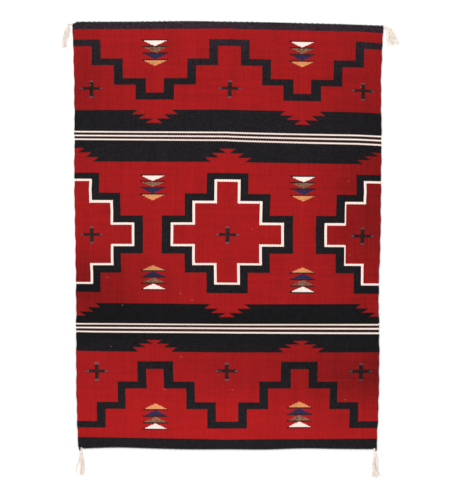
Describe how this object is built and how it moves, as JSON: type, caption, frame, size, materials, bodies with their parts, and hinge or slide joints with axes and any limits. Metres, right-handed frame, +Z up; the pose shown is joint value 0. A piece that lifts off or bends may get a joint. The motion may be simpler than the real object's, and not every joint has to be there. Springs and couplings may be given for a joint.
{
  "type": "woven wool rug",
  "caption": "Flat weft-faced wool rug with ribbed face, twined end cords and a loose yarn tassel at each corner.",
  "frame": {"origin": "middle of the cloth's flat underside, on the floor", "axes": "+X across the warps, +Y along the warps to the end with the bowed stripes, +Z up out of the patterned face"},
  "size_m": [0.8413, 1.1424, 0.0046],
  "materials": {
    "wool_cloth": "matte",
    "black_wool": "matte",
    "cream_wool": "matte"
  },
  "bodies": {
    "root": {"rug": "wool_cloth", "end_cord_top": "black_wool", "end_cord_bottom": "black_wool", "side_cord_tail_left": "black_wool", "side_cord_tail_right": "black_wool", "tassel_top_left": "cream_wool", "tassel_top_right": "cream_wool", "tassel_bottom_left": "cream_wool", "tassel_bottom_right": "cream_wool"}
  },
  "joints": []
}
